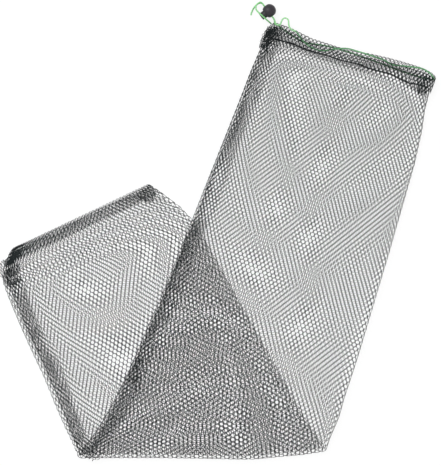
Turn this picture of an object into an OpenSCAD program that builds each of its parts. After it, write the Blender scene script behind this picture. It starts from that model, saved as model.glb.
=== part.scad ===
// Drawstring mesh net bag, laid flat and folded once over itself.
// The bag is a tube of knotless netting. Its mouth has a hemmed channel with a
// drawstring and a spring cord lock, and its other end is turned over and sewn.
// X runs along the fold, +Y goes from the fold to the mouth, +Z is up.
// Each half has its own plan axes: v across the tube and u along it, from the fold.

/* [Netting tube] */
// Length of the folded edge
fold_w = 320; // [280:1:360]
// Length from the fold to the mouth, along the middle of the tube
mouth_run = 566; // [460:1:640]
// Flat width of the tube just below the mouth hem
mouth_w = 230; // [190:1:250]
// Angle that the mouth half leans away from square to the fold
mouth_lean = 22.2; // [10:0.1:30]
// Sideways bow of the mouth half at mid length
mouth_bow = 8; // [0:0.5:14]
// Length from the fold to the closed end
end_run = 350; // [300:1:420]
// Flat width of the tube before the corners of the closed end
end_w = 262; // [230:1:280]
// Angle that the closed half leans the other way
end_lean = 23.5; // [10:0.1:30]
// Sideways shift of the closed end from the middle of the fold
end_shift = 6; // [0:0.5:12]
// Length of the sewn edge between the corners of the closed end
end_edge = 186; // [150:1:200]
// Thickness of one layer of netting
net_t = 1.2; // [0.8:0.1:1.6]
// Height left open between the two layers inside the mouth half
mouth_gap = 4.6; // [4.2:0.1:7]
// Height between the two layers inside the closed half
end_gap = 1.2; // [0.6:0.1:2]
// Width of the sewn overlap where the netting is joined into a tube
seam_w = 14; // [8:0.5:20]

/* [Hem and closed end] */
// Width of the hem round the mouth
hem_w = 19; // [14:0.5:26]
// Height inside the hem's channel
hem_channel = 3; // [2.6:0.1:4]
// Distance from the tube's left edge to the left end of the hem
hem_cut = 11; // [9:0.5:20]
// Distance from the hem's left end to where its channel starts on the front
channel_cut = 20; // [14:0.5:30]
// Width of the turned and sewn band at the closed end
band_w = 16; // [10:0.5:24]
// Thickness of that band, four layers pressed together
band_t = 4.6; // [3.6:0.1:6]

/* [Drawstring] */
// Diameter of the drawstring
cord_d = 2; // [1.6:0.1:2.1]
// Clear space round the cords where they pass through the lock
cord_clear = 0.2; // [0.1:0.05:0.3]

/* [Cord lock] */
// Diameter of the ball
ball_d = 17.5; // [17:0.1:19]
// Distance from the ball's middle to the flat rim that the button stands out of
rim_x = 6.2; // [5.8:0.1:6.4]
// Distance from the ball's middle to the flats round the cord hole
hole_flat = 7.9; // [7.8:0.1:8.1]
// Diameter of the button
button_d = 9.9; // [9.4:0.1:10.2]
// Distance from the ball's middle to the button's end face
button_end = 13.2; // [12.6:0.1:14.5]
// Radial running clearance between the button and its bore
button_clear = 0.08; // [0.04:0.01:0.1]
// Depth of the button's bore beyond the ball's middle
bore_depth = 6.4; // [6.3:0.05:6.8]
// Diameter of the cord hole through ball and button
cord_hole_d = 6.2; // [6:0.1:6.4]
// Travel of the button
press = 3; // [2.6:0.1:3.1]
// Width of the button's guide key
key_w = 1.6; // [1.2:0.1:2]
// Height of the guide key above the button's side
key_h = 0.8; // [0.5:0.1:1]
// Depth of the grooves that grip the fingertip
grip_depth = 0.25; // [0.1:0.05:0.4]
// Number of grip grooves
grip_count = 3; // [2:1:4]
// Outer diameter of the spring
spring_d = 6.5; // [5.6:0.1:6.8]
// Diameter of the spring's wire
wire_d = 0.45; // [0.35:0.05:0.5]
// Number of turns of the spring
spring_turns = 4; // [3:1:4]

/* [Hidden] */
$fn = 48;

netting = [0.12, 0.15, 0.15];
hemming = [0.16, 0.2, 0.19];
cord_green = [0.55, 0.85, 0.5];
lock_black = [0.12, 0.11, 0.13];
steel = [0.7, 0.7, 0.72];

touch = 0.02;      // space that keeps two seated faces from cutting into each other
layer_gap = 0.6;   // space between the two halves of the bag where they lie on each other
big = 2000;

// Plan: the middle of the fold in the object's frame, whose origin is under the
// middle of the net.
fold_x = -36;
fold_y = -279;

// Heights, from the surface up.
turn_r = mouth_gap / 2;                                // inside of the mouth half's side turn
mid_z = turn_r + net_t + hem_channel + net_t;          // middle height of the mouth half
back_z = mid_z - turn_r - net_t;                       // underside of the back layer
front_z = mid_z + turn_r;                              // underside of the front layer
end_back_z = net_t + end_gap;                          // underside of the closed half's upper layer
end_top = end_back_z + net_t;                          // top of the closed half
fold_clear = back_z - end_top;                         // space between the halves
channel_r = turn_r + net_t + hem_channel / 2;          // middle of the hem's channel from mid_z

// Along the mouth half.
hem_start = mouth_run - hem_w;
stitch_run = 5;                                        // length over which the hem closes down
pinch = 2;                                             // flat sewn edge of the hem
side_steps = 10;                                       // straight lengths along a side of the plan
hem_left = -mouth_w / 2 + hem_cut;
channel_left = hem_left + channel_cut;
turn_v = mouth_w / 2 - net_t - turn_r;                 // axis of the hem's turn at the right side

// Corners of the closed end, u and v.
left_corner = 46;
right_corner = 67;
round_steps = 5;

function mix(a, b, s) = a + (b - a) * s;

// Plan point of a half at (v, u), leaning by an angle to the right.
function place(v, u, lean) = [v * cos(lean) + u * sin(lean), u * cos(lean) - v * sin(lean)];

// Side of the mouth half: from the fold's corner to the hem, bowed to the right.
function mouth_corner(side) = place(side * mouth_w / 2, hem_start, mouth_lean);
function mouth_side(side, s, inset) = [
    mix(side * fold_w / 2, mouth_corner(side)[0], s)
        + (4 * s * (1 - s) * mouth_bow - side * inset) * cos(mouth_lean),
    mix(0, mouth_corner(side)[1], s)
        - (4 * s * (1 - s) * mouth_bow - side * inset) * sin(mouth_lean)];

function end_corner(side) = place(
    side * end_w / 2 - end_shift,
    end_run - (side < 0 ? left_corner : right_corner), -end_lean);
function end_side(side, s, inset) = [
    mix(side * fold_w / 2, end_corner(side)[0], s) - side * inset * cos(end_lean),
    mix(0, end_corner(side)[1], s) - side * inset * sin(end_lean)];

// Rounded left corner of the closed end: a quarter of an ellipse.
left_in = (end_w - end_edge) / 2;
function left_round(a, inset) = place(
    -end_w / 2 - end_shift + left_in * (1 - cos(a)) + inset,
    end_run - left_corner * (1 - sin(a)) - (a > 45 ? inset : 0), -end_lean);

module half_plane() translate([-big / 2, 0]) square([big, big]);

// Plan of the mouth half up to the hem; inset moves only its two sides.
module mouth_plan(inset = 0) intersection() {
    polygon([
        for (k = [0 : side_steps]) mouth_side(1, k / side_steps, inset),
        for (k = [side_steps : -1 : 0]) mouth_side(-1, k / side_steps, inset)]);
    half_plane();
}

// The two strips along the sides of the mouth half, one layer wide.
module mouth_sides() difference() {
    mouth_plan();
    mouth_plan(net_t);
}

// Plan of the closed half up to its sewn edge.
module end_plan(inset = 0) intersection() {
    polygon([
        end_side(1, 0, inset),
        end_side(1, 1, inset),
        place(end_edge / 2 - end_shift - inset, end_run - inset, -end_lean),
        for (k = [round_steps : -1 : 0]) left_round(90 * k / round_steps, inset),
        end_side(-1, 0, inset)]);
    half_plane();
}

// Everything of the closed half that lies under its end band.
module band_zone(margin = 0) rotate(end_lean)
    translate([-big / 2, end_run - band_w - margin]) square([big, big]);

module at_fold() translate([fold_x, fold_y]) children();

module slab(z, t) translate([0, 0, z]) linear_extrude(t) children();

// A half pipe along the fold that joins a lower and an upper layer.
module fold_turn(low_z, high_z, inset) {
    mid = (low_z + high_z + net_t) / 2;
    r = (high_z + net_t - low_z) / 2;
    translate([-fold_w / 2 + inset, 0, mid]) rotate([90, 0, 90])
        intersection() {
            difference() {
                cylinder(r = r, h = fold_w - 2 * inset);
                translate([0, 0, -1]) cylinder(r = r - net_t, h = fold_w + 2);
            }
            translate([-big, -big / 2, -1]) cube([big, big, fold_w + 2]);
        }
}

module net_front_mouth() color(netting) at_fold() {
    slab(front_z, net_t) mouth_plan();
    slab(mid_z, turn_r) mouth_sides();
}

module net_back_mouth() color(netting) at_fold() {
    slab(back_z, net_t) mouth_plan();
    slab(back_z + net_t, turn_r - touch) mouth_sides();
}

module net_front_fold() color(netting) at_fold() fold_turn(0, front_z, 0);

module net_back_fold() color(netting) at_fold() fold_turn(end_back_z, back_z, net_t);

module net_front_end() color(netting) at_fold() slab(0, net_t) difference() {
    end_plan();
    band_zone();
}

// The upper layer of the closed half, with its edges turned down to the lower one.
module net_back_end() color(netting) at_fold() {
    slab(end_back_z, net_t) difference() {
        end_plan();
        band_zone();
    }
    slab(net_t + touch, end_gap - touch) difference() {
        end_plan();
        end_plan(net_t);
        band_zone();
        translate([-big / 2, 0]) square([big, net_t]);
    }
}

// Overlap of the two selvedges, inside the left edge of the mouth half.
module side_seam_mouth() color(netting) at_fold()
    slab(front_z - net_t - touch, net_t) difference() {
        mouth_plan(net_t + touch);
        mouth_plan_right();
    }

module mouth_plan_right() polygon([
    for (k = [0 : side_steps]) mouth_side(-1, k / side_steps, net_t + seam_w),
    for (k = [side_steps : -1 : 0]) mouth_side(1, k / side_steps, -net_t)]);

// The same overlap on the closed half, where it lies on top.
module side_seam_end() color(netting) at_fold()
    slab(end_top + touch, fold_clear - 2 * touch) intersection() {
        polygon([
            end_side(-1, 0, net_t), end_side(-1, 1, net_t),
            end_side(-1, 1, net_t + seam_w), end_side(-1, 0, net_t + seam_w)]);
        end_plan();
    }

// Section of the hem: x is the distance out from mid_z, y is u along the tube.
module hem_section() difference() {
    union() {
        polygon([
            [turn_r, hem_start], [turn_r + 2 * net_t, hem_start],
            [turn_r + 2 * net_t, hem_start + pinch],
            [turn_r + 2 * net_t + hem_channel, hem_start + pinch + stitch_run],
            [turn_r + 2 * net_t + hem_channel, edge_u],
            [turn_r, edge_u]]);
        translate([channel_r, edge_u]) circle(r = edge_r);
    }
    polygon([
        [turn_r + net_t, hem_start + pinch + net_t],
        [turn_r + net_t + hem_channel, hem_start + pinch + net_t + stitch_run],
        [turn_r + net_t + hem_channel, edge_u],
        [turn_r + net_t, edge_u]]);
    translate([channel_r, edge_u]) circle(r = hem_channel / 2);
}
edge_r = hem_channel / 2 + net_t;
edge_u = mouth_run - edge_r;

// Only the layer of the hem that goes on from the tube's own netting.
module hem_inner_section() translate([turn_r, hem_start]) square([net_t, edge_u - hem_start]);

// Moves a section drawn as (out, u, v) to the mouth; up is 1 for front, -1 for back.
module at_mouth() translate([fold_x, fold_y, mid_z]) rotate(-mouth_lean) children();

// A straight length of hem from v0 to v1.
module hem_run(v0, v1, up) translate([up > 0 ? v1 : v0, 0, 0])
    rotate([0, -90 * up, 0]) linear_extrude(v1 - v0) children();

// A quarter turn of hem at the right side.
module hem_turn(up) translate([turn_v, 0, 0]) rotate([-90, 0, 0])
    rotate(up > 0 ? -90 : 0) rotate_extrude(angle = 90) children();

module mouth_hem_front() color(hemming) at_mouth() {
    hem_run(channel_left, turn_v, 1) hem_section();
    hem_run(hem_left, channel_left, 1) hem_inner_section();
    hem_turn(1) hem_section();
}

module mouth_hem_back() color(hemming) at_mouth() {
    hem_run(hem_left, turn_v, -1) hem_section();
    hem_turn(-1) hem_section();
}

// Closed end: all layers turned over together, with a rounded outer edge.
module closed_end_band() color(hemming) at_fold() intersection() {
    slab(0, band_t) end_plan();
    rotate(end_lean) translate([-end_w, end_run - band_w, 0]) union() {
        cube([2 * end_w, band_w - band_t / 2, band_t]);
        translate([0, band_w - band_t / 2, band_t / 2]) rotate([0, 90, 0])
            cylinder(d = band_t, h = 2 * end_w);
    }
}

// Cord lock: x runs from the ball's middle along the button, y along the cord
// hole towards the hem, z up.
lock_x = 70.5;
lock_y = 296.9;
lock_lift = 0.2;                        // the ball hangs this far above the surface
lock_z = ball_d / 2 + lock_lift;
button_turn = 215;                      // direction of the button in plan
bore_r = button_d / 2 + button_clear;
cord_shift = press / 2;                 // the cords lie half way between the two holes
cord_z = cord_d / 2 + cord_clear / 2;   // one cord above, one below the middle
key_end = 5;                            // blind front end of the key's groove
key_clear = 0.12;
hole_round = 0.5;                       // bevel round the cord hole
hole_r = cord_hole_d / 2;
pocket_r = spring_d / 2 + 0.3;
web = 1.2;                              // solid between cord hole and spring pocket
button_chamfer = 0.7;
skirt_end = bore_depth - press - 0.2;   // inner end of the button, inwards of the middle
pocket_end = hole_r - press + web;      // floor of the spring pocket, inwards of the middle

module at_lock() translate([lock_x, lock_y, lock_z]) rotate(button_turn) children();

// Turns a shape drawn along z so that it runs along x.
module along_x() rotate([0, 90, 0]) children();
module along_y() rotate([-90, 0, 0]) children();

// The hole for the cords, bevelled where it leaves a face at y = +-reach.
module cord_hole(reach) along_y() {
    translate([0, 0, -ball_d]) cylinder(r = hole_r, h = 2 * ball_d);
    for (end = [-1, 1]) scale([1, 1, end]) translate([0, 0, reach - hole_round])
        cylinder(r1 = hole_r, r2 = hole_r + 4 * hole_round, h = 4 * hole_round);
}

module lock_barrel() color(lock_black) at_lock() difference() {
    sphere(d = ball_d, $fn = 96);
    translate([rim_x, -ball_d, -ball_d]) cube(2 * ball_d);
    for (side = [-1, 1]) translate([0, side * (hole_flat + ball_d / 2), 0]) cube(ball_d, center = true);
    translate([-bore_depth, 0, 0]) along_x() cylinder(r = bore_r, h = ball_d);
    translate([rim_x - 0.4, 0, 0]) along_x() cylinder(r1 = bore_r, r2 = bore_r + 0.8, h = 0.8);
    translate([-bore_depth, -key_w / 2 - key_clear, 0])
        cube([bore_depth + key_end, key_w + 2 * key_clear, button_d / 2 + key_h + key_clear]);
    cord_hole(hole_flat);
}

// Button at rest: its cord hole stands out of line by the travel and pinches the cords.
module lock_button() color(lock_black) at_lock() difference() {
    union() {
        translate([-skirt_end, 0, 0]) along_x()
            cylinder(d = button_d, h = skirt_end + button_end - button_chamfer);
        translate([button_end - button_chamfer, 0, 0]) along_x()
            cylinder(d1 = button_d, d2 = button_d - 2 * button_chamfer, h = button_chamfer);
        translate([-skirt_end, -key_w / 2, 0])
            cube([skirt_end + key_end - touch, key_w, button_d / 2 + key_h]);
    }
    translate([press, 0, 0]) cord_hole(button_d / 2);
    translate([-skirt_end - 1, 0, 0]) along_x()
        cylinder(r = pocket_r, h = skirt_end - pocket_end + 1);
    for (k = [1 : grip_count])
        translate([button_end - button_chamfer - 1.1 * k, 0, 0]) along_x() difference() {
            cylinder(d = button_d + 1, h = 0.5);
            cylinder(d = button_d - 2 * grip_depth, h = 0.5);
        }
}

// Helical spring from the bottom of the bore to the button's pocket.
wire_sides = 8;
turn_steps = 16;
spring_r = (spring_d - wire_d) / 2;
spring_from = -bore_depth + wire_d / 2 + touch;
spring_to = -pocket_end - wire_d / 2 - touch;
function wire_ring(a, x) = [for (k = [0 : wire_sides - 1])
    let (w = 360 * k / wire_sides, r = spring_r + cos(w) * wire_d / 2)
    [x + sin(w) * wire_d / 2, r * cos(a), r * sin(a)]];

module lock_spring() color(steel) at_lock() tube_mesh([
    for (k = [0 : spring_turns * turn_steps]) let (s = k / (spring_turns * turn_steps))
        wire_ring(360 * spring_turns * s, mix(spring_from, spring_to, s))]);

// A closed mesh through a list of rings with the same number of points.
module tube_mesh(rings) {
    n = len(rings[0]);
    last = len(rings) - 1;
    polyhedron(
        points = [for (ring = rings) for (p = ring) p],
        faces = [
            [for (k = [0 : n - 1]) k],
            for (i = [0 : last - 1]) for (k = [0 : n - 1])
                [i * n + k, (i + 1) * n + k, (i + 1) * n + (k + 1) % n, i * n + (k + 1) % n],
            [for (k = [n - 1 : -1 : 0]) last * n + k]],
        convexity = 10);
}

// The drawstring inside the hem: along the front, round the right side and back.
hem_cord_u = edge_u - hem_channel;
front_cord_v = channel_left + 6;
module drawstring() color(cord_green) at_mouth() {
    for (up = [-1, 1]) translate([up > 0 ? front_cord_v : hem_left, hem_cord_u, up * channel_r])
        along_x() cylinder(d = cord_d, h = turn_v - (up > 0 ? front_cord_v : hem_left));
    translate([turn_v, hem_cord_u, 0]) rotate([-90, 0, 0]) rotate(-90)
        rotate_extrude(angle = 180) translate([channel_r, 0]) circle(d = cord_d);
}

// A point of the mouth half's channel in the object's frame.
function at_hem(v, up) =
    let (p = place(v, hem_cord_u, mouth_lean)) [fold_x + p[0], fold_y + p[1], mid_z + up * channel_r];
// A point of the cords' straight run through the lock, y mm towards the hem.
function in_lock(y, up) = [
    lock_x + cord_shift * cos(button_turn) - y * sin(button_turn),
    lock_y + cord_shift * sin(button_turn) + y * cos(button_turn),
    lock_z + up * cord_z];
lock_run = [12.2, 11, -11, -12.4];

// Free end of the front run: slack loop at the hem's corner, through the lock,
// then round over the button to the corner again.
cord_a_route = [
    at_hem(front_cord_v, 1), [99.9, 270.3, 12.7], [97, 272.9, 12.7], [95.4, 276, 12.7],
    [95, 279.4, 12.7], [94.9, 282.8, 12.7], [93.1, 285.6, 12.7], [89.9, 286.4, 12.7],
    [87, 284.5, 12.6], [85.5, 281.6, 12.4], [84.3, 278.9, 12.4], [81.8, 277.6, 12.4],
    [79.2, 278.6, 12.4], [77.8, 281, 12], [77.3, 283.6, 11],
    for (y = lock_run) in_lock(y, 1),
    [59.6, 308.1, 10.6], [55.6, 306.2, 11.4], [53.2, 302.3, 12.6], [53.8, 298, 14],
    [56.6, 294.4, 15], [59.6, 291.6, 15.3], [62.5, 288.8, 15.3], [65.4, 286, 14.6],
    [68.3, 283.6, 11.4], [70.4, 282.1, 7.8], [72.4, 280.6, 4.4]];

// Free end of the back run: from the hem's open end through the lock to its tip.
cord_b_route = [
    at_hem(hem_left, -1), [77.4, 279.7, 2.8], [77, 282, 4], [76.9, 284.3, 6.2],
    for (y = lock_run) in_lock(y, -1),
    [59.6, 307.5, 7], [56, 306.6, 5.2], [52.6, 304, 3.2], [50, 300.6, 1.8],
    [48, 296.8, 1.2], [46.6, 292.8, 1.1]];

cord_sides = 8;
spline_steps = 2;
function spline(p, i, s) = let (
    last = len(p) - 1, a = p[max(i - 1, 0)], b = p[i], c = p[i + 1], d = p[min(i + 2, last)])
    (2 * b + (c - a) * s + (2 * a - 5 * b + 4 * c - d) * s * s
        + (3 * b - a - 3 * c + d) * s * s * s) / 2;
function smooth(p) = [
    for (i = [0 : len(p) - 2]) for (k = [0 : spline_steps - 1]) spline(p, i, k / spline_steps),
    p[len(p) - 1]];
function unit(a) = a / norm(a);
function cord_ring(line, i) = let (
    t = unit(line[min(i + 1, len(line) - 1)] - line[max(i - 1, 0)]),
    side = unit(cross([0, 0, 1], t)), up = cross(t, side))
    [for (k = [0 : cord_sides - 1]) let (w = 360 * k / cord_sides)
        line[i] + cord_d / 2 * (cos(w) * side + sin(w) * up)];
module cord(route) color(cord_green) {
    line = smooth(route);
    tube_mesh([for (i = [0 : len(line) - 1]) cord_ring(line, i)]);
}

module cord_end_a() cord(cord_a_route);
module cord_end_b() cord(cord_b_route);

net_front_mouth();
net_back_mouth();
net_front_fold();
net_back_fold();
net_front_end();
net_back_end();
side_seam_mouth();
side_seam_end();
mouth_hem_front();
mouth_hem_back();
closed_end_band();
drawstring();
cord_end_a();
cord_end_b();
lock_barrel();
lock_button();
lock_spring();
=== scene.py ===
import math

import bpy
import numpy as np
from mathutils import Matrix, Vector


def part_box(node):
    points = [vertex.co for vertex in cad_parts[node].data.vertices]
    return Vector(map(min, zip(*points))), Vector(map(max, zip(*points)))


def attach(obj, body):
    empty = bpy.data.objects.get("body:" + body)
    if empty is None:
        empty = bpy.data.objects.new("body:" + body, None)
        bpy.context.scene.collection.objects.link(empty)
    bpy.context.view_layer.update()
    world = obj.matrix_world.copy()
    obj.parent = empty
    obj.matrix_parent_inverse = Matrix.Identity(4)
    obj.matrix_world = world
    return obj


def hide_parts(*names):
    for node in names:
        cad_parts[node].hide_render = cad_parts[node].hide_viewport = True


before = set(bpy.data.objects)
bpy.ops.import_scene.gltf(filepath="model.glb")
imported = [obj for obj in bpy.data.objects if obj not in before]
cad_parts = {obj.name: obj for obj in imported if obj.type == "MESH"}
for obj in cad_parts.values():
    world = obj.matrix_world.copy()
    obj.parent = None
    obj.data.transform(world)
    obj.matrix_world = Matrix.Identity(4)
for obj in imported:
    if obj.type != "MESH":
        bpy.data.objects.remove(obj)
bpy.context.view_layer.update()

# Lengths are in millimetres up to the moment that a mesh is written, in metres.
M = 0.001


def box_mm(node):
    low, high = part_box(node)
    return np.array(low) / M, np.array(high) / M


# ---------------------------------------------------------------- sizes
fold_low, fold_high = box_mm("net_front_fold")
FOLD = np.array([(fold_low[0] + fold_high[0]) / 2, fold_high[1]])   # middle of the fold
NET_T = box_mm("net_front_end")[1][2] - box_mm("net_front_end")[0][2]
FRONT_Z = box_mm("net_front_mouth")[1][2] - NET_T / 2               # middle of each layer
BACK_Z = box_mm("net_back_mouth")[0][2] + NET_T / 2
LOWER_Z = box_mm("net_front_end")[0][2] + NET_T / 2
UPPER_Z = box_mm("net_back_end")[1][2] - NET_T / 2
HEM_OUT = box_mm("mouth_hem_front")[1][2] - NET_T / 2 - FRONT_Z     # outer layer of the hem
BAND_Z = box_mm("closed_end_band")[1][2]
MOUTH_MID, MOUTH_R = (FRONT_Z + BACK_Z) / 2, (FRONT_Z - BACK_Z) / 2      # a half's middle height,
CLOSED_MID, CLOSED_R = (UPPER_Z + LOWER_Z) / 2, (UPPER_Z - LOWER_Z) / 2  # and its radius at the edge

RUN, END = 566.0, 350.0              # fold to mouth, fold to closed end
LEAN, END_LEAN = math.radians(22.2), math.radians(23.5)
COLUMNS, HALF = 92, 46               # meshes round the tube, and on one side of it
TWINE = 0.33                         # radius of the twine
SIDES = 5                            # sides of a twine's section
LOWEST = 0.45                        # height of the lowest twine's middle over the floor

# Edges of the tube in its own plan: distance from the fold, then distance across.
MOUTH_LEFT = ([-90, -60, -20, 40, 77, 112, 200, 334, 458, 500, 530, 552, 580],
              [-149, -148, -141, -133, -129, -127.5, -122.5, -119.5, -116.5, -116, -114.5, -114.5,
              -115])
MOUTH_RIGHT = ([40, 60, 112, 140, 200, 285, 334, 458, 500, 522, 550, 563, 580],
               [148, 148, 147.4, 144.6, 142.4, 137, 134, 124.8, 118.8, 113.4, 109.8, 110, 110])
END_LEFT = ([-90, 61, 72, 120, 154, 187, 234, 265, 300, 318, 330, 336, 342, 348, 352],
            [-148, -147, -146, -142.6, -140.6, -138.6, -138.4, -137.4, -135.8, -134.6, -130, -126,
             -120, -112, -105])
END_RIGHT = ([-90, -61, 282, 309, 323, 337, 350, 352],
             [148, 147.6, 123.9, 115.5, 108.5, 100.5, 92, 91])
# Mouth edge and the sewn line under the hem: distance across, distance from the fold.
MOUTH_EDGE = ([-116, -112, -108, -87, -55, -7, 20, 45, 63, 90, 100, 116],
              [551, 558, 564, 564.5, 561, 563, 568.3, 571.6, 573.4, 574.8, 574.2, 571])
SEWN_LINE = ([-116, -91, -39, -10, 17, 56, 84, 106, 120],
             [540, 542.7, 543.9, 546, 548.3, 550.5, 549, 551, 552])
HEM_FADE, HEM_TOP, SEWN_AT = 480, 545, 547   # rows wave from the first on; the hem's own heights
HEM_FALL = 20.0                              # length over which the turned netting comes back in
# The folded edge stands back from its outermost line by this much: x, distance.
FOLD_WAVE = ([-165, -117, -54, 8, 52, 70, 92, 132, 153, 170],
             [9.5, 8.2, 6.2, 3.2, 0.6, 0.3, 1.9, 4.2, 7.0, 8.5])


def lerp(a, b, s):
    return a + (b - a) * s


def smooth(x, low, high):
    s = np.clip((x - low) / (high - low), 0, 1)
    return s * s * (3 - 2 * s)


def waves(count, longest, shortest, seed):
    """A soft random field over the plane, made of a few sine waves."""
    r = np.random.default_rng(seed)
    turn = r.uniform(0, 2 * math.pi, count)
    length = np.exp(r.uniform(math.log(shortest), math.log(longest), count))
    kx, ky = np.cos(turn) * 2 * math.pi / length, np.sin(turn) * 2 * math.pi / length
    phase, size = r.uniform(0, 2 * math.pi, count), length / longest
    size /= math.sqrt((size ** 2).sum() / 2)

    def field(x, y):
        total = np.zeros(np.broadcast(x, y).shape)
        for i in range(count):
            total += size[i] * np.sin(kx[i] * x + ky[i] * y + phase[i])
        return total
    return field


lift_wave = waves(9, 190, 45, 1)
LIFT = 0.34                          # height of the soft waves
MESH_W = 6                           # about a mesh's width, for waves across the columns
SLIDE, SLIP = 0.12, 0.7              # slip of a layer: across in columns, along in millimetres
SKEW = 0.03                          # each layer lies turned by this much against the other
SKEW_AT, SKEW_COLUMN, SKEW_W = 330, 5.6, 250   # the turn's centre, a column and the tube across
CALM_IN, CALM_OUT = (-10, 60), (850, 910)      # the slip grows and fades between these distances
slip_wave = {side: (waves(7, 420, 130, 10 + k), waves(7, 420, 130, 20 + k))
             for k, side in enumerate((1, -1))}


# ---------------------------------------------------------------- the tube's surface
def crowd(s, left, right, reach):
    """Share of the flat width reached at column s, with the columns crowded near the edges."""
    def total(x):
        return (x
                - left * reach * (np.tanh((x - 3.2) / reach) + np.tanh(3.2 / reach))
                - right * reach * (np.tanh((x - HALF + 2.5) / reach)
                                   + np.tanh((HALF - 2.5) / reach)))
    return total(s) / total(HALF)


def across(column, left, right, radius, crowding):
    """Place across the flattened tube and height from -1 (back) to 1 (front)."""
    column = np.mod(column, COLUMNS)
    side = np.where(column <= HALF, 1.0, -1.0)
    s = np.where(column <= HALF, column, COLUMNS - column)
    half = right - left - 2 * radius + math.pi * radius
    p = half * crowd(s, *crowding)
    turn = math.pi * radius / 2
    flat = left + radius + p - turn
    near, far = np.clip(p / radius, 0, math.pi / 2), np.clip((half - p) / radius, 0, math.pi / 2)
    v = np.where(p < turn, left + radius * (1 - np.cos(near)),
                 np.where(half - p < turn, right - radius * (1 - np.cos(far)), flat))
    return v, side * np.sin(np.minimum(near, far))


def slipped(column, d, u, side):
    """Slow slip of each layer in its own plane, so that the two layers drift in and out of step."""
    calm = smooth(d, *CALM_IN) * (1 - smooth(d, *CALM_OUT))
    within = np.mod(column, COLUMNS)
    within = np.where(within <= HALF, within, COLUMNS - within) / HALF
    hold = np.sin(np.pi * within) ** 0.5 * calm
    slide, slip = [np.where(side > 0, slip_wave[1][k](column * MESH_W, d),
                            slip_wave[-1][k](column * MESH_W, d)) for k in (0, 1)]
    column = column + hold * (slide * SLIDE + SKEW * (d - SKEW_AT) / SKEW_COLUMN)
    return column, u + hold * (slip * SLIP + side * SKEW * (within - 0.5) * SKEW_W)


def mouth_point(column, u, over):
    """Point of the mouth half: x, distance from the fold, side of the tube from -1 to 1, height.
    over is the length of netting past the edge, which is turned outwards into the hem."""
    hem_r = HEM_OUT / 2
    turn = np.clip(over / hem_r, 0, math.pi)
    back_run = np.clip(over - math.pi * hem_r, 0, None)
    out = hem_r * (1 - np.cos(turn))                       # distance outwards of the layer
    k_left = 0.16 + 0.2 * smooth(u, HEM_FADE, 560)
    k_right = 0.2 * smooth(u, 500, 560)
    v, h = across(column, np.interp(u, *MOUTH_LEFT), np.interp(u, *MOUTH_RIGHT) + out * 0.5,
                  MOUTH_R + out, (k_left, k_right, 3.5))
    edge = np.interp(v, *MOUTH_EDGE)
    sewn = np.interp(v, *SEWN_LINE)
    # Rows between HEM_FADE and the edge are shifted so that the edge and the sewn line wave.
    u = (u + (edge - hem_r - RUN) * smooth(u, HEM_TOP, RUN)
         + (sewn - SEWN_AT) * smooth(u, HEM_FADE, SEWN_AT) * (1 - smooth(u, SEWN_AT, RUN)))
    u = u + np.where(over > 0, hem_r * np.sin(turn), 0)
    fall = np.clip(back_run / HEM_FALL, 0, 1)
    u = u - fall * (edge - hem_r - sewn + 1.0)
    down = smooth(fall, 0.72, 1.0) * (out - 0.9)           # the turned end lies back on the layer
    z = MOUTH_MID + h * (MOUTH_R + np.where(over > 0, out - down, 0))
    return v * math.cos(LEAN) + u * math.sin(LEAN), u * math.cos(LEAN) - v * math.sin(LEAN), h, z


def closed_point(column, u, past, side):
    """The same four for the closed half, where past is the length turned over in the end's band."""
    turn_r = np.where(side > 0, BAND_Z - LOWEST - LOWER_Z, BAND_Z - 1.0 - UPPER_Z) / 2
    turn = np.clip(past / turn_r, 0, math.pi)
    back_run = np.clip(past - math.pi * turn_r, 0, None)
    w = -u
    w = w + 1.6 * smooth(w, 320, END) + np.where(past > 0, turn_r * np.sin(turn) - back_run, 0)
    k_end = 0.62 * smooth(w, 300, 348)
    v, h = across(column, np.interp(w, *END_LEFT), np.interp(w, *END_RIGHT), CLOSED_R,
                  (np.maximum(0.14, k_end), 0.35 * k_end, 4.0))
    z = CLOSED_MID - h * CLOSED_R + np.where(past > 0, turn_r * (1 - np.cos(turn)), 0)
    x = v * math.cos(END_LEAN) - w * math.sin(END_LEAN)
    return x, -w * math.cos(END_LEAN) - v * math.sin(END_LEAN), h, z


def over_fold(mouth, closed, d):
    """Join the two halves over the fold, and lift the netting in soft waves."""
    x_m, q_m, h_m, z_m = mouth
    x_c, q_c, h_c, z_c = closed
    s = smooth(-q_m, -30, 30)
    x, q, h = lerp(x_m, x_c, s), lerp(q_m, q_c, s), lerp(h_m, h_c, s)
    high, low = MOUTH_MID + h * MOUTH_R, CLOSED_MID - h * CLOSED_R
    r = (high - low) / 2
    bend = np.clip(q / r, -math.pi / 2, math.pi / 2)
    turning = np.abs(q) < math.pi / 2 * r
    y = np.where(turning, -r * np.cos(bend), np.abs(q) - math.pi / 2 * r)
    z = np.where(turning, (high + low) / 2 + r * np.sin(bend), np.where(q > 0, z_m, z_c))
    y = y + np.interp(x, *FOLD_WAVE) * np.exp(-(y / 38) ** 2)
    soft = LIFT * lift_wave(x + 40 * h, y) * np.clip(np.abs(q) / 12, 0, 1)
    # The lowest layer only lifts, since it lies on the floor, and the band lifts less.
    z = z + np.where((q > 0) | (h < 0), soft, np.abs(soft) * 0.4) * (1 - 0.6 * smooth(d, *CALM_OUT))
    return np.stack([x + FOLD[0], y + FOLD[1], np.maximum(z, LOWEST)], -1)


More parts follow.
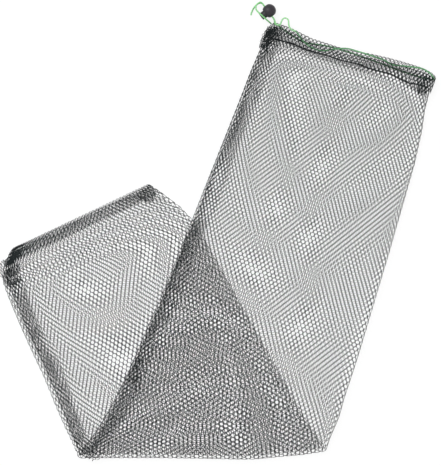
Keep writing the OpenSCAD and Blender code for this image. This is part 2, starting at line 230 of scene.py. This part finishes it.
def tube_point(column, d):
    """Point of the netting at a column and a distance d from the mouth edge along the tube.
    Below 0 the netting is turned over in the hem, past RUN + END in the closed end's band."""
    column, d = np.broadcast_arrays(np.asarray(column, float), np.asarray(d, float))
    side = np.where(np.mod(column, COLUMNS) <= HALF, 1.0, -1.0)
    over, past = np.clip(-d, 0, None), np.clip(d - RUN - END, 0, None)
    column, u = slipped(column, d, RUN - np.clip(d, 0, RUN + END), side)
    return over_fold(mouth_point(column, u, over), closed_point(column, u, past, side), d)


# ---------------------------------------------------------------- twine
CHUNK, CHUNKS = 12, 64               # lengths in a stretch of twine, and a bound on their count


def mesh_from(name, co, quads, uv=None):
    """A smooth-shaded object from points in millimetres and four-sided faces."""
    me = bpy.data.meshes.new(name)
    me.vertices.add(len(co))
    me.vertices.foreach_set("co", (co * M).astype(np.float32).ravel())
    me.loops.add(quads.size)
    me.loops.foreach_set("vertex_index", quads.astype(np.int32).ravel())
    me.polygons.add(len(quads))
    me.polygons.foreach_set("loop_start", np.arange(0, quads.size, 4, dtype=np.int32))
    me.polygons.foreach_set("use_smooth", np.ones(len(quads), bool))
    if uv is not None:
        layer = me.uv_layers.new(name="OFBake")
        layer.uv.foreach_set("vector", uv.astype(np.float32).ravel())
    me.update(calc_edges=True)
    me.validate()
    obj = bpy.data.objects.new(name, me)
    bpy.context.scene.collection.objects.link(obj)
    return obj


def unit(a):
    return a / np.maximum(np.linalg.norm(a, axis=-1, keepdims=True), 1e-9)


def rings(line, normal, radius):
    """Rings of points round each centreline: line is twines x rings x 3."""
    step = unit(np.diff(line, axis=1))
    along = np.concatenate([step[:, :1], step[:, :-1] + step[:, 1:], step[:, -1:]], 1)
    along = unit(along)
    out = unit(np.cross(along, normal))
    up = np.cross(out, along)
    a = np.arange(SIDES) * 2 * math.pi / SIDES + 0.3
    return line[:, :, None] + radius * (np.cos(a)[:, None] * out[:, :, None]
                                        + np.sin(a)[:, None] * up[:, :, None])


def write_twines(name, ring, keep):
    """One mesh of open-ended tubes: ring is twines x rings x SIDES x 3, and keep says which of the
    lengths between rings are in it. Stretches of CHUNK lengths share no points."""
    t, r = np.nonzero(keep)
    total = ring.shape[1] + 1
    keys = [(t * total + end) * CHUNKS + r // CHUNK for end in (r, r + 1)]
    used, index = np.unique(np.concatenate(keys), return_inverse=True)
    place = used // CHUNKS
    co = ring[place // total, place % total].reshape(-1, 3)
    ia, ib = index[:len(t)], index[len(t):]
    k = np.arange(SIDES)
    k2 = (k + 1) % SIDES
    quads = np.stack([ia[:, None] * SIDES + k, ib[:, None] * SIDES + k,
                      ib[:, None] * SIDES + k2, ia[:, None] * SIDES + k2], -1).reshape(-1, 4)
    order, row = np.unique(t, return_inverse=True)
    low, span = r.min(), r.max() + 1 - r.min()
    u0 = (row[:, None] + (k + 0.0) / SIDES) / len(order)
    u1 = (row[:, None] + (k + 1.0) / SIDES) / len(order)
    v0 = ((r - low) / span)[:, None] + 0 * u0
    v1 = ((r + 1 - low) / span)[:, None] + 0 * u0
    uv = np.stack([np.stack([u0, v0], -1), np.stack([u0, v1], -1),
                   np.stack([u1, v1], -1), np.stack([u1, v0], -1)], 2)
    return mesh_from(name, co, quads, uv)


def lattice(point, first, last, b0, b1, row_to_d, bar=1.35, radius=TWINE, jitter=0.12, seed=5):
    """Twines that zigzag between neighbouring columns: two run side by side in each bar.
    Returns their rings and, for each length between rings, its column, distance and middle."""
    r = np.random.default_rng(seed)
    cols = np.arange(first, last)
    rows = np.arange(b0, b1 + 1)
    base = np.repeat(cols, 2).astype(float)
    hand = np.tile([1.0, -1.0], len(cols))
    odd = (rows % 2)[None, :]
    column = base[:, None] + hand[:, None] * 0.5 * odd
    offset = np.where(odd == 1, -hand[:, None], hand[:, None]) * radius * 0.95
    d = row_to_d(rows)[None, :] + 0 * column
    # One random shift for every bar, shared by the two twines in it.
    key = np.round(column * 2).astype(int) * 4096 + rows[None, :] + 2048
    uniq, inv = np.unique(key, return_inverse=True)
    inv = inv.reshape(key.shape)
    d = d + r.normal(0, jitter * 1.6, len(uniq))[inv]
    column = column + r.normal(0, jitter * 0.16, len(uniq))[inv]
    gap = np.gradient(row_to_d(rows))
    half = np.minimum(bar, np.abs(gap) * 0.33)[None, :]
    column, offset = np.repeat(column, 2, 1), np.repeat(offset, 2, 1)
    ends = np.repeat(d, 2, 1) + np.repeat(half, 2, 1) * np.tile([-1.0, 1.0], len(rows))[None, :]
    line = point(column, ends)
    step = 0.05
    right = point(column + step, ends) - point(column - step, ends)
    on = point(column, ends + 0.3) - point(column, ends - 0.3)
    normal = unit(np.cross(right, on))
    line = line + unit(right) * offset[..., None]
    line = line + normal * r.normal(0, jitter * 0.5, line.shape[:2])[..., None]
    ring = rings(line, normal, radius)
    middle = (column[:, :-1] + column[:, 1:]) / 2
    return ring, middle, (ends[:, :-1] + ends[:, 1:]) / 2, (line[:, :-1] + line[:, 1:]) / 2


# Rows: the meshes are shorter at the mouth. Each row is half a mesh.
def mesh_length(d):
    return np.interp(d, [-40, 0, 40, 120, 330, 566, 620, 880, 920, 960],
                     [6.6, 7.4, 7.8, 8.2, 8.9, 9.7, 9.6, 9.2, 7.4, 6.6])


grid = np.linspace(-60, 980, 8000)
mean_length = (mesh_length(grid[1:]) + mesh_length(grid[:-1])) / 2
row_at = np.concatenate([[0], np.cumsum(2 / mean_length * np.diff(grid))])
row_at -= np.interp(0, grid, row_at)


def row_to_d(rows):
    return np.interp(rows, row_at, grid)


HEM_TAIL, BAND_TAIL = 26.0, 19.0     # netting turned over past the mouth edge and the closed end
first_row = int(math.ceil(np.interp(-HEM_TAIL, grid, row_at)))
last_row = int(np.interp(RUN + END + BAND_TAIL, grid, row_at))

# ---------------------------------------------------------------- camera
VIEW_H = 605.8 * M                   # height of the view at the floor
DISTANCE = 3.0
SENSOR = 24
camera_data = bpy.data.cameras.new("camera")
camera = bpy.data.objects.new("camera", camera_data)
bpy.context.scene.collection.objects.link(camera)
bpy.context.scene.camera = camera
camera_data.sensor_fit = "VERTICAL"
camera_data.sensor_height = SENSOR
camera_data.lens = SENSOR * DISTANCE / VIEW_H
camera_data.clip_end = 50
camera.location = (-2.2 * M, 11.1 * M, DISTANCE)
camera.rotation_euler = (0, 0, math.radians(-1.9))


# ---------------------------------------------------------------- materials
def material(name):
    """A new material: itself, its tree, its shader and its object coordinates."""
    mat = bpy.data.materials.new(name)
    mat.use_nodes = True
    tree = mat.node_tree
    shader = tree.nodes["Principled BSDF"]
    coords = tree.nodes.new("ShaderNodeTexCoord")
    return mat, tree, shader, coords.outputs["Object"]


def noise(tree, coords, scale, detail=3.0, rough=0.55):
    node = tree.nodes.new("ShaderNodeTexNoise")
    node.inputs["Scale"].default_value = scale
    node.inputs["Detail"].default_value = detail
    node.inputs["Roughness"].default_value = rough
    tree.links.new(coords, node.inputs["Vector"])
    return node.outputs["Fac"]


def ramp(tree, fac, stops):
    node = tree.nodes.new("ShaderNodeValToRGB")
    el = node.color_ramp.elements
    while len(el) < len(stops):
        el.new(0.5)
    for e, (at, colour) in zip(el, stops):
        e.position = at
        e.color = (*colour, 1)
    tree.links.new(fac, node.inputs["Fac"])
    return node.outputs["Color"]


def spread(tree, fac, low, high):
    node = tree.nodes.new("ShaderNodeMapRange")
    node.inputs["From Min"].default_value = 0.3
    node.inputs["From Max"].default_value = 0.7
    node.inputs["To Min"].default_value = low
    node.inputs["To Max"].default_value = high
    tree.links.new(fac, node.inputs["Value"])
    return node.outputs["Result"]


def bump(tree, shader, fac, distance, strength=1.0):
    node = tree.nodes.new("ShaderNodeBump")
    node.inputs["Distance"].default_value = distance
    node.inputs["Strength"].default_value = strength
    tree.links.new(fac, node.inputs["Height"])
    tree.links.new(node.outputs["Normal"], shader.inputs["Normal"])


def fibre_material(name, dark, mid, light, rough=(0.5, 0.75), sheen=0.15, twist=900.0):
    """Twisted filament: fine streaks, patches of lighter fibre, and a little sheen."""
    mat, tree, shader, coords = material(name)
    stretch = tree.nodes.new("ShaderNodeMapping")
    stretch.inputs["Scale"].default_value = (1.0, 1.0, 0.45)
    stretch.inputs["Rotation"].default_value = (0.3, 0.2, math.radians(35))
    tree.links.new(coords, stretch.inputs["Vector"])
    fine = noise(tree, stretch.outputs["Vector"], twist, 3.0, 0.6)
    broad = noise(tree, coords, 55.0, 4.0, 0.55)
    both = tree.nodes.new("ShaderNodeMix")
    both.inputs["Factor"].default_value = 0.45
    tree.links.new(fine, both.inputs["A"])
    tree.links.new(broad, both.inputs["B"])
    tree.links.new(ramp(tree, both.outputs["Result"], [(0.34, dark), (0.52, mid), (0.68, light)]),
                   shader.inputs["Base Color"])
    tree.links.new(spread(tree, fine, *rough), shader.inputs["Roughness"])
    shader.inputs["Sheen Weight"].default_value = sheen
    shader.inputs["Sheen Roughness"].default_value = 0.4
    shader.inputs["Specular IOR Level"].default_value = 0.25
    bump(tree, shader, fine, 0.00012, 0.8)
    return mat


# Each has a dark, a middle and a light colour.
NET_MAT = fibre_material("netting_twine", (0.005, 0.0078, 0.0092), (0.0085, 0.0125, 0.0145),
                         (0.018, 0.025, 0.028), sheen=0.04)
HEM_MAT = fibre_material("hem_twine", (0.006, 0.0098, 0.0105), (0.011, 0.017, 0.018),
                         (0.024, 0.034, 0.036), sheen=0.05)
SEAM_MAT = fibre_material("seam_twine", (0.005, 0.0078, 0.0092), (0.0085, 0.0125, 0.0145),
                          (0.018, 0.026, 0.029), sheen=0.04)
THREAD_MAT = fibre_material("sewing_thread", (0.004, 0.006, 0.007), (0.009, 0.013, 0.014),
                            (0.02, 0.026, 0.027), sheen=0.04, twist=1800.0)
# The cord's own green darkened: painted shade for the drawstring's run inside the hem's channel, under the
# netting.
SHADED_CORD_MAT = fibre_material("cord_painted_shade_in_hem", (0.05, 0.17, 0.07), (0.15, 0.38, 0.18),
                            (0.28, 0.56, 0.29), (0.5, 0.75), 0.1, 700.0)
CORD_MAT = fibre_material("cord_braid", (0.15, 0.47, 0.15), (0.32, 0.74, 0.32),
                          (0.55, 0.88, 0.53), (0.45, 0.7), 0.25, 700.0)

# ---------------------------------------------------------------- cords
def hem_point(v, u, z):
    """Point of the mouth half, v across it and u from the fold, as a list."""
    return [FOLD[0] + v * math.cos(LEAN) + u * math.sin(LEAN),
            FOLD[1] + u * math.cos(LEAN) - v * math.sin(LEAN), z]


CORD_R = 1.0
CHANNEL_R, MID_Z, CORD_U = 5.0, 7.7, 560.3   # the hem's channel: radius, height, place from the fold
LOCK = np.array([70.5, 296.9, 8.95])         # middle of the lock's ball
TURN = math.radians(215)                     # the way that the button points
BORE_X, BORE_UP = 1.5, 1.1                   # bores from the middle: towards the button, and in height
LOCK_RUN = [12.2, 11, -11, -12.4]            # a cord's places along its bore


def in_lock(y, up):
    """Point y along the upper bore, where up is 1, or along the lower one, where it is -1."""
    return [LOCK[0] + BORE_X * math.cos(TURN) - y * math.sin(TURN),
            LOCK[1] + BORE_X * math.sin(TURN) + y * math.cos(TURN), LOCK[2] + BORE_UP * up]


CORD_A = [hem_point(-78, CORD_U, MID_Z + CHANNEL_R),
          [99.9, 270.3, 12.7], [97, 272.9, 12.7], [95.4, 276, 12.7], [95, 279.4, 12.7],
          [94.9, 282.8, 12.7], [93.1, 285.6, 12.7], [89.9, 286.4, 12.7], [87, 284.5, 12.6],
          [85.5, 281.6, 12.4], [84.3, 278.9, 12.4], [81.8, 277.6, 12.4], [79.2, 278.6, 12.4],
          [77.8, 281, 12], [77.3, 283.6, 11], *[in_lock(y, 1) for y in LOCK_RUN],
          [59.6, 308.1, 10.6], [55.6, 306.2, 11.4], [53.2, 302.3, 12.6], [53.8, 298, 14],
          [56.6, 294.4, 15], [59.6, 291.6, 15.3], [62.5, 288.8, 15.3], [65.4, 286, 14.6],
          [68.3, 283.6, 11.4], [70.4, 282.1, 7.8], [72.4, 280.6, 4.4]]
CORD_B = [hem_point(-104, CORD_U, MID_Z - CHANNEL_R),
          [77.4, 279.7, 2.8], [77, 282, 4], [76.9, 284.3, 6.2], *[in_lock(y, -1) for y in LOCK_RUN],
          [59.6, 307.5, 7], [56, 306.6, 5.2], [52.6, 304, 3.2], [50, 300.6, 1.8],
          [48, 296.8, 1.2], [46.6, 292.8, 1.1]]


def spline(points, spacing):
    """Catmull-Rom curve through the points, resampled to an even spacing."""
    p = np.array(points, float)
    p = np.vstack([2 * p[0] - p[1], p, 2 * p[-1] - p[-2]])
    out = []
    t = np.linspace(0, 1, 40, endpoint=False)[:, None]
    for i in range(1, len(p) - 2):
        a, b, c, e = p[i - 1], p[i], p[i + 1], p[i + 2]
        out.append(0.5 * (2 * b + (c - a) * t + (2 * a - 5 * b + 4 * c - e) * t ** 2
                          + (3 * b - a - 3 * c + e) * t ** 3))
    out = np.vstack([*out, p[-2:-1]])
    far = np.concatenate([[0], np.cumsum(np.linalg.norm(np.diff(out, axis=0), axis=1))])
    count = max(int(round(far[-1] / spacing)), 2)
    at = np.linspace(0, far[-1], count + 1)
    return np.stack([np.interp(at, far, out[:, k]) for k in range(3)], 1), far[-1]


def blunt_ends(line, along, ring, radius):
    """Points and faces that close a tube of rings at both ends."""
    sides = ring.shape[1]
    k = np.arange(sides)
    points, faces = [], []
    base = len(line) * sides
    for end, sign in ((0, -1), (len(line) - 1, 1)):
        spokes = ring[end] - line[end]
        points.append(line[end] + spokes * 0.55 + along[end] * sign * radius * 0.35)
        points.append(line[end] + along[end] * sign * radius * 0.45 + spokes * 0.02)
        rims = (k + end * sides, k + base, k + base + sides)
        for low, high in zip(rims, rims[1:]):
            q = np.stack([low, np.roll(low, -1), np.roll(high, -1), high], -1)
            faces.append(q if sign > 0 else q[:, ::-1])
        base += 2 * sides
    return points, faces


def swept(name, points, radius, spacing, sides, relief=0.0, strands=8, lay=5.5):
    """A round tube along a line, with the crossing strands of a braid raised on it.
    Returns its object, its line and the line's length."""
    line, length = spline(points, spacing)
    along = unit(np.gradient(line, axis=0))
    up = np.array([0.0, 0.0, 1.0])
    frames = []
    out = unit(np.cross(along[0], up if abs(along[0][2]) < 0.9 else np.array([1.0, 0, 0])))
    for k in range(len(line)):
        out = unit(out - along[k] * (out @ along[k]))
        frames.append(out)
    out = np.array(frames)
    top = np.cross(along, out)
    s = np.linspace(0, length, len(line))[:, None]
    a = (np.arange(sides) * 2 * math.pi / sides)[None, :]
    one = np.cos(strands / 2 * a + 2 * math.pi * s / lay)
    two = np.cos(strands / 2 * a - 2 * math.pi * s / lay)
    weave = np.maximum(np.abs(one), np.abs(two)) - 0.8
    r = radius * (1 + relief * weave)
    ring = line[:, None] + r[..., None] * (np.cos(a)[..., None] * out[:, None]
                                           + np.sin(a)[..., None] * top[:, None])
    k = np.arange(sides)
    j = np.arange(len(line) - 1)[:, None]
    quads = np.stack([j * sides + k, j * sides + (k + 1) % sides,
                      (j + 1) * sides + (k + 1) % sides, (j + 1) * sides + k], -1).reshape(-1, 4)
    tips, closing = blunt_ends(line, along, ring, radius)
    co = np.vstack([ring.reshape(-1, 3), *tips])
    return mesh_from(name, co, np.vstack([quads, *closing])), line, length


def dress(obj, mat, body="net_bag"):
    """Give a piece its material and the body it rides on."""
    obj.data.materials.clear()
    obj.data.materials.append(mat)
    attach(obj, body)
    return obj


cord_a, path_a, length_a = swept("cord_end_slack", CORD_A, CORD_R, 0.45, 16, 0.14)
cord_b, path_b, length_b = swept("cord_end_tail", CORD_B, CORD_R, 0.45, 16, 0.14)
for piece, node in ((cord_a, "cord_end_a"), (cord_b, "cord_end_b")):
    dress(piece, CORD_MAT)
    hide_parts(node)

# The drawstring's run in the hem: along the front, round the right side, back along the back.
front_run = [(-78, 560.3), (-72, 557), (-66, 552.5), (-57, 548.8), (-46, 547.2), (-35, 549),
             (-22, 556), (-8, 562), (8, 563.6), (24, 564.4), (42, 564.8), (54, 562.8),
             (68, 566), (84, 570), (94, 571.5), (104, 569.5)]
turn_run = [(108.4, 567.2, 12.3), (111.2, 565.4, 10.6), (112, 564.4, 7.7), (111, 563.6, 4.6),
            (107.6, 563, 2.9)]
back_run = [(101, 562), (84, 560.6), (60, 560.2), (30, 560), (0, 559.6), (-30, 557.5),
            (-57, 552), (-67, 551.5), (-80, 554.4), (-91, 556.8), (-98, 559), (-104, 560.3)]
run = [hem_point(v, u, MID_Z + CHANNEL_R) for v, u in front_run]
run += [hem_point(*p) for p in turn_run]
run += [hem_point(v, u, MID_Z - CHANNEL_R) for v, u in back_run]
draw, _, _ = swept("drawstring_in_hem", run, CORD_R, 0.6, 14, 0.14)
# The run in the hem takes the cord's green with painted shade, darker than the free cord ends.
dress(draw, SHADED_CORD_MAT)
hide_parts("drawstring")

# ---------------------------------------------------------------- the netting
ring, column, dist, middle = lattice(tube_point, 0, COLUMNS, first_row, last_row, row_to_d)
front = np.mod(column, COLUMNS) <= HALF
FOLD_DEEP, HEM_DEEP, BAND_DEEP, UPPER_DEEP = 4.0, 19.5, 16, 300   # reach of the fold, hem, band, upper part
OPEN_COLUMNS, OPEN_D = 1.6, -2       # the hem's channel is open here at its left end
in_y = middle[..., 1] - FOLD[1]
fold_d = RUN - (middle[..., 0] - FOLD[0]) * math.sin(LEAN)      # near enough to sort the lengths
nose = in_y < FOLD_DEEP
mouth_half = (~nose) & (dist < fold_d)
closed_half = (~nose) & ~mouth_half
hem = dist < HEM_DEEP
near_left = (np.mod(column, COLUMNS) < OPEN_COLUMNS) | (np.mod(column, COLUMNS) > COLUMNS - OPEN_COLUMNS)
open_left = (dist < OPEN_D) & near_left
band = dist > RUN + END - BAND_DEEP
upper_part = dist < UPPER_DEEP

column_wide = np.linalg.norm(tube_point(column + 0.5, dist) - tube_point(column - 0.5, dist), axis=-1)


# Name, the lengths that are in it, material, slot, and the nodes that it stands for.
pieces = [
    ("net_front_upper", front & mouth_half & ~hem & upper_part, NET_MAT, "netting", ["net_front_mouth"]),
    ("net_front_lower", front & mouth_half & ~hem & ~upper_part, NET_MAT, "netting", ["net_front_mouth"]),
    ("net_back_upper", ~front & mouth_half & ~hem & upper_part, NET_MAT, "netting", ["net_back_mouth"]),
    ("net_back_lower", ~front & mouth_half & ~hem & ~upper_part, NET_MAT, "netting", ["net_back_mouth"]),
    ("net_fold_outer", front & nose, NET_MAT, "netting", ["net_front_fold"]),
    ("net_fold_inner", ~front & nose, NET_MAT, "netting", ["net_back_fold"]),
    ("net_closed_lower", front & closed_half & ~band, NET_MAT, "netting", ["net_front_end"]),
    ("net_closed_upper", ~front & closed_half & ~band, NET_MAT, "netting", ["net_back_end"]),
    ("hem_front", front & mouth_half & hem & ~open_left, HEM_MAT, "hem_netting", ["mouth_hem_front"]),
    ("hem_back", ~front & mouth_half & hem & ~open_left, HEM_MAT, "hem_netting", ["mouth_hem_back"]),
    ("closed_band", closed_half & band, HEM_MAT, "hem_netting", ["closed_end_band"]),
]
for name, keep, mat, slot, nodes in pieces:
    obj = write_twines(name, ring, keep)
    dress(obj, mat)
    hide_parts(*nodes)
    if name == "net_fold_outer":
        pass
    elif name == "net_fold_inner":
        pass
    else:
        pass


# ---------------------------------------------------------------- seam bands inside the left edge
def band_strip(half, height, wide, phase):
    """A strip of netting a few meshes wide, inside the left edge of one half."""
    edge, lean = (MOUTH_LEFT, LEAN) if half == "mouth" else (END_LEFT, -END_LEAN)

    def point(column, d):
        column, d = np.broadcast_arrays(np.asarray(column, float), np.asarray(d, float))
        inside = 4.6 + (column + 0.5) * wide
        v = np.interp(d, *edge) + inside + 1.6 * np.sin(d / 23 + phase)
        x = v * math.cos(lean) + d * math.sin(lean)
        y = d * math.cos(lean) - v * math.sin(lean)
        return np.stack([x + FOLD[0], y + FOLD[1], height + 0.25 * np.sin(d / 9)], -1)
    return point


def strip_rows(start, pitch):
    """Rows at an even pitch, for lattice."""
    return lambda rows: start + rows * pitch


STRIP_PITCH = 4.3
# Name, half, height, column width, phase of its wave, first and last distance, columns, seed.
strips = [
    ("seam_mouth_a", "mouth", FRONT_Z - 0.95, 4.7, 0.0, -52, 552, 4, 31),
    ("seam_mouth_b", "mouth", FRONT_Z - 1.55, 4.2, 2.1, -50, 552, 2, 32),
    ("seam_closed_a", "end", UPPER_Z + 0.85, 4.6, 0.0, 70, 330, 4, 33),
    ("seam_closed_b", "end", (UPPER_Z + LOWER_Z) / 2, 4.4, 2.4, 70, 330, 3, 34),
]
for name, half, height, wide, phase, start, stop, count, seed in strips:
    s_ring, _, _, s_mid = lattice(band_strip(half, height, wide, phase), 0, count, 0,
                                  int((stop - start) / STRIP_PITCH), strip_rows(start, STRIP_PITCH),
                                  bar=1.2, radius=0.3, jitter=0.2, seed=seed)
    keep = (s_mid[..., 1] - FOLD[1]) > 1.0                 # not past the folded edge
    obj = write_twines(name, s_ring, keep)
    dress(obj, SEAM_MAT)
    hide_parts("side_seam_mouth" if half == "mouth" else "side_seam_end")


# ---------------------------------------------------------------- bunched corners
def half_point(half, v, u, z):
    """Point of a half, v across it and u from the fold, for arrays."""
    lean = LEAN if half == "mouth" else -END_LEAN
    return np.stack([FOLD[0] + v * math.cos(lean) + u * math.sin(lean),
                     FOLD[1] + u * math.cos(lean) - v * math.sin(lean), z + 0 * v], -1)


def bunch_point(half, v0, v1, u0, u1, low, high, count, seed):
    """Crumpled netting between two places across and two along, between two heights."""
    ripple, sway = waves(6, 26, 7, seed), waves(5, 30, 9, seed + 50)

    def point(column, d):
        column, d = np.broadcast_arrays(np.asarray(column, float), np.asarray(d, float))
        along = (d - u0) / (u1 - u0)
        draw_in = 1 - 0.35 * np.abs(2 * along - 1) ** 2
        middle = (v0 + v1) / 2
        v = middle + ((column + 0.5) / count - 0.5) * (v1 - v0) * draw_in + 0.9 * sway(column * 3, d)
        z = low + (high - low) * (0.5 + 0.35 * ripple(column * 4, d))
        return half_point(half, v, d + 0.8 * sway(d, column * 3), np.clip(z, low, high))
    return point


HEM_LOW, END_LOW, END_HIGH = FRONT_Z + 0.9, UPPER_Z - 0.6, UPPER_Z + 1.1
# Name, half, place across, place along, heights, columns, pitch of the rows, seed, slot.
bunches = [
    ("bunch_hem_left", "mouth", -116, -101, 523, 557, HEM_LOW, FRONT_Z + 3.2, 6, 3.1, 41,
     "hem_netting"),
    ("bunch_hem_left_low", "mouth", -116, -103, 526, 552, BACK_Z + 1.2, FRONT_Z - 1.2, 6, 3.0, 42,
     "hem_netting"),
    ("bunch_hem_right", "mouth", 94, 110, 541, 566, HEM_LOW, FRONT_Z + 3.0, 6, 3.2, 43,
     "hem_netting"),
    ("bunch_end_left", "end", -136, -110, 307, 341, END_LOW, END_HIGH, 9, 3.6, 44, "hem_netting"),
    ("bunch_end_right", "end", 72, 92, 330, 348, END_LOW, END_HIGH, 5, 3.8, 45, "hem_netting"),
    ("bunch_fold_left", "mouth", -128, -112, 60, 92, FRONT_Z + 0.3, FRONT_Z + 1.4, 5, 4.0, 46,
     "netting"),
]
for name, half, v0, v1, u0, u1, low, high, count, pitch, seed, slot in bunches:
    b_ring, _, _, b_mid = lattice(bunch_point(half, v0, v1, u0, u1, low, high, count, seed),
                                  0, count, 0, int((u1 - u0) / pitch), strip_rows(u0, pitch),
                                  bar=0.9, radius=TWINE, jitter=0.35, seed=seed)
    obj = write_twines(name, b_ring, np.ones(b_mid.shape[:2], bool))
    dress(obj, HEM_MAT if slot == "hem_netting" else NET_MAT)


# ---------------------------------------------------------------- sewing
def stitches(name, half, line, z, throw, pitch, radius):
    """Zigzag stitches along a line of (v, u) points, with a straight thread down the middle."""
    points = [half_point(half, np.float64(v), np.float64(u), z) for v, u in line]
    path, _ = spline(points, pitch / 2)
    along = unit(np.gradient(path, axis=0))
    side = np.stack([-along[:, 1], along[:, 0], 0 * along[:, 0]], -1)
    turn = np.where(np.arange(len(path)) % 2, 1.0, -1.0)[:, None]
    zigzag = path + side * turn * throw + np.array([0, 0, 0.25])
    for suffix, points in (("_zigzag", zigzag), ("_run", path[::2])):
        obj, _, _ = swept(name + suffix, points, radius, pitch / 6, 6)
        dress(obj, THREAD_MAT)


def beside(edge, u):
    """Place of the side seam's stitches, inside the left edge of a half."""
    return float(np.interp(u, *edge)) + 5.2 + 0.4 * math.sin(u / 6)


hem_line = [(v, float(np.interp(v, *SEWN_LINE)) + 0.7 * math.sin(v / 7))
            for v in np.linspace(-113, 108, 60)]
stitches("hem_stitch_front", "mouth", hem_line, FRONT_Z + 1.15, 0.75, 2.6, 0.36)
stitches("hem_stitch_back", "mouth", hem_line, BACK_Z - 1.15, 0.75, 2.6, 0.36)
seam_line = [(beside(MOUTH_LEFT, u), u) for u in np.linspace(66, 540, 90)]
stitches("seam_stitch_mouth", "mouth", seam_line, FRONT_Z + 0.75, 0.55, 3.0, 0.26)
end_line = [(beside(END_LEFT, u), u) for u in np.linspace(70, 326, 50)]
stitches("seam_stitch_closed", "end", end_line, UPPER_Z + 1.0, 0.55, 3.0, 0.26)
close_line = [(v, 347.2 + 0.5 * math.sin(v / 9)) for v in np.linspace(-108, 84, 44)]
stitches("end_stitch", "end", close_line, BAND_Z - 0.55, 0.5, 2.8, 0.28)


# ---------------------------------------------------------------- lock
def moulded(name, low, high):
    """Moulded plastic with a fine grain and slow changes of gloss."""
    mat, tree, shader, coords = material(name)
    fine = noise(tree, coords, 1800.0, 2.0, 0.5)
    broad = noise(tree, coords, 120.0, 4.0, 0.6)
    tree.links.new(ramp(tree, broad, [(0.35, low), (0.7, high)]), shader.inputs["Base Color"])
    tree.links.new(spread(tree, broad, 0.38, 0.55), shader.inputs["Roughness"])
    shader.inputs["Specular IOR Level"].default_value = 0.5
    bump(tree, shader, fine, 0.00006, 0.6)
    return mat


def spring_wire():
    """Drawn steel wire."""
    mat, tree, shader, coords = material("spring_wire")
    shader.inputs["Metallic"].default_value = 1.0
    streaks = noise(tree, coords, 1500.0)
    tree.links.new(ramp(tree, streaks, [(0.3, (0.42, 0.42, 0.44)), (0.7, (0.62, 0.62, 0.64))]),
                   shader.inputs["Base Color"])
    tree.links.new(spread(tree, noise(tree, coords, 800.0), 0.25, 0.42), shader.inputs["Roughness"])
    return mat


BARREL_MAT = moulded("lock_black_plastic", (0.011, 0.008, 0.013), (0.022, 0.017, 0.025))
BUTTON_MAT = moulded("button_black_plastic", (0.009, 0.009, 0.011), (0.018, 0.018, 0.021))
for node, mat in (("lock_barrel", BARREL_MAT), ("lock_button", BUTTON_MAT),
                  ("lock_spring", spring_wire())):
    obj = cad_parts[node]
    obj.data.materials.clear()
    obj.data.materials.append(mat)


# ---------------------------------------------------------------- floor and light
FLOOR_HALF = 7.0
FLOOR_GREY, FLOOR_SEEN, FLOOR_GLOW = 0.85, 0.18, 0.86   # as it lights, and as it is seen
AMBIENT = 0.68
LAMP_AT, LAMP_SIZE, LAMP_POWER = (-0.8, 0.9, 1.6), 1.4, 15


def highest(tree, a, b):
    node = tree.nodes.new("ShaderNodeMath")
    node.operation = "MAXIMUM"
    tree.links.new(a, node.inputs[0])
    tree.links.new(b, node.inputs[1])
    return node.outputs[0]


def show(tree, lit, seen, out):
    """Show one shader to the camera, to reflections and through clear parts, and another to the rest."""
    path = tree.nodes.new("ShaderNodeLightPath")
    camera_or_glossy = highest(tree, path.outputs["Is Camera Ray"], path.outputs["Is Glossy Ray"])
    mix = tree.nodes.new("ShaderNodeMixShader")
    tree.links.new(highest(tree, camera_or_glossy, path.outputs["Is Transmission Ray"]), mix.inputs[0])
    tree.links.new(lit.outputs[0], mix.inputs[1])
    tree.links.new(seen.outputs[0], mix.inputs[2])
    tree.links.new(mix.outputs[0], out.inputs["Surface"])


def diffuse(tree, grey):
    node = tree.nodes.new("ShaderNodeBsdfDiffuse")
    node.inputs["Color"].default_value = (grey, grey, grey, 1)
    return node


def floor_material():
    """A white floor that is seen nearly even, with the soft shadows of what lies on it."""
    mat = bpy.data.materials.new("floor_white")
    mat.use_nodes = True
    tree = mat.node_tree
    tree.nodes.clear()
    out = tree.nodes.new("ShaderNodeOutputMaterial")
    glow = tree.nodes.new("ShaderNodeEmission")
    glow.inputs["Strength"].default_value = FLOOR_GLOW
    seen = tree.nodes.new("ShaderNodeAddShader")
    tree.links.new(diffuse(tree, FLOOR_SEEN).outputs[0], seen.inputs[0])
    tree.links.new(glow.outputs[0], seen.inputs[1])
    show(tree, diffuse(tree, FLOOR_GREY), seen, out)
    return mat


def backdrop(tree, strength):
    node = tree.nodes.new("ShaderNodeBackground")
    node.inputs["Color"].default_value = (1, 1, 1, 1)
    node.inputs["Strength"].default_value = strength
    return node


floor_me = bpy.data.meshes.new("floor")
corners = [(-1, -1), (1, -1), (1, 1), (-1, 1)]
floor_me.from_pydata([(x * FLOOR_HALF, y * FLOOR_HALF, 0) for x, y in corners], [], [(0, 1, 2, 3)])
floor_me.materials.append(floor_material())
floor = bpy.data.objects.new("floor", floor_me)
bpy.context.scene.collection.objects.link(floor)

world = bpy.data.worlds.new("world")
bpy.context.scene.world = world
world.use_nodes = True
tree = world.node_tree
tree.nodes.clear()
show(tree, backdrop(tree, AMBIENT), backdrop(tree, 1.0), tree.nodes.new("ShaderNodeOutputWorld"))

lamp_data = bpy.data.lights.new("softbox", "AREA")
lamp_data.shape = "DISK"
lamp_data.size = LAMP_SIZE
lamp_data.energy = LAMP_POWER
lamp = bpy.data.objects.new("softbox", lamp_data)
bpy.context.scene.collection.objects.link(lamp)
lamp.location = LAMP_AT
lamp.rotation_euler = (-Vector(lamp.location)).to_track_quat("-Z", "Y").to_euler()

bpy.context.scene.view_settings.view_transform = "Standard"

bpy.context.view_layer.update()
